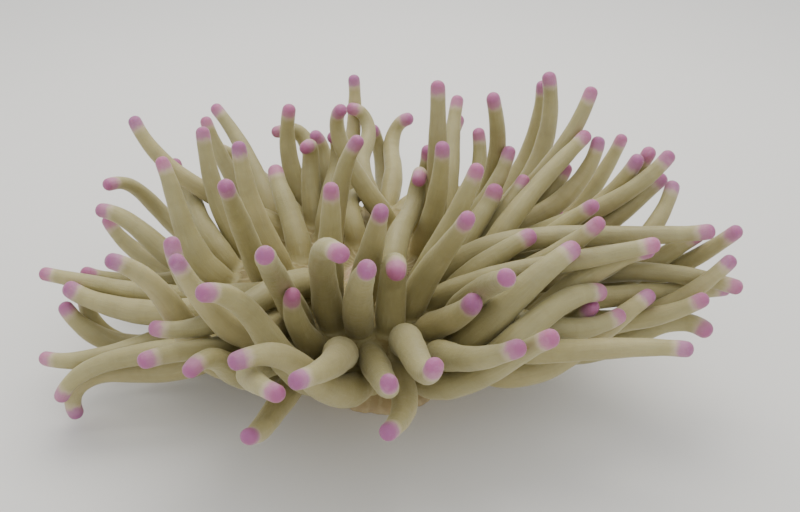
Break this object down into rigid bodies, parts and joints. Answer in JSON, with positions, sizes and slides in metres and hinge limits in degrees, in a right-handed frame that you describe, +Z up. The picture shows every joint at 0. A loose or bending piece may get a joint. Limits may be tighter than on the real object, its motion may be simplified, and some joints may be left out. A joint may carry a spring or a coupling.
{
  "type": "sea anemone",
  "caption": "Giant sea anemone standing open on its foot: short ridged column, rounded margin, slit mouth and a crowded crown of tapering olive tentacles with blunt pink tips.",
  "frame": {"origin": "the centre of the foot's underside, on the floor the animal stands on", "axes": "+Z up, +X along the crown's widest spread, -Y the front that faced the camera"},
  "size_m": [0.2902, 0.2474, 0.1267],
  "materials": {
    "tentacle_flesh": "moist translucent olive-tan flesh, satin, with dusty pink caps",
    "column_flesh": "moist tan flesh, satin, finely ridged, a little salmon at the foot",
    "disc_flesh": "moist olive-brown flesh with paler radiating lines",
    "lip_flesh": "moist pale cream flesh, puckered"
  },
  "bodies": {
    "root": {"column": "column_flesh", "margin_fan_01": "tentacle_flesh", "margin_fan_02": "tentacle_flesh", "margin_fan_03": "tentacle_flesh", "margin_fan_04": "tentacle_flesh", "margin_fan_05": "tentacle_flesh", "margin_fan_06": "tentacle_flesh", "margin_fan_07": "tentacle_flesh", "margin_fan_08": "tentacle_flesh", "margin_fan_09": "tentacle_flesh", "margin_fan_10": "tentacle_flesh", "margin_fan_11": "tentacle_flesh", "margin_fan_12": "tentacle_flesh", "margin_fan_13": "tentacle_flesh", "margin_fan_14": "tentacle_flesh", "margin_fan_15": "tentacle_flesh", "margin_fan_16": "tentacle_flesh", "margin_fan_17": "tentacle_flesh", "margin_fan_18": "tentacle_flesh", "margin_fan_19": "tentacle_flesh", "margin_fan_20": "tentacle_flesh", "margin_fan_21": "tentacle_flesh", "margin_fan_22": "tentacle_flesh", "margin_fan_23": "tentacle_flesh", "margin_fan_24": "tentacle_flesh", "margin_fan_25": "tentacle_flesh", "margin_fan_26": "tentacle_flesh", "mouth": "lip_flesh", "oral_disc": "disc_flesh", "pedal_disc": "column_flesh", "tentacle_inner_01": "tentacle_flesh", "tentacle_inner_02": "tentacle_flesh", "tentacle_inner_03": "tentacle_flesh", "tentacle_inner_04": "tentacle_flesh", "tentacle_inner_05": "tentacle_flesh", "tentacle_inner_06": "tentacle_flesh", "tentacle_inner_07": "tentacle_flesh", "tentacle_inner_08": "tentacle_flesh", "tentacle_inner_09": "tentacle_flesh", "tentacle_inner_10": "tentacle_flesh", "tentacle_inner_11": "tentacle_flesh", "tentacle_inner_12": "tentacle_flesh", "tentacle_inner_13": "tentacle_flesh", "tentacle_inner_14": "tentacle_flesh", "tentacle_inner_15": "tentacle_flesh", "tentacle_inner_16": "tentacle_flesh", "tentacle_inner_17": "tentacle_flesh", "tentacle_inner_18": "tentacle_flesh", "tentacle_inner_19": "tentacle_flesh", "tentacle_inner_20": "tentacle_flesh", "tentacle_inner_21": "tentacle_flesh", "tentacle_inner_22": "tentacle_flesh", "tentacle_inner_23": "tentacle_flesh", "tentacle_inner_24": "tentacle_flesh", "tentacle_inner_25": "tentacle_flesh", "tentacle_inner_26": "tentacle_flesh", "tentacle_inner_27": "tentacle_flesh", "tentacle_inner_28": "tentacle_flesh"}
  },
  "joints": []
}
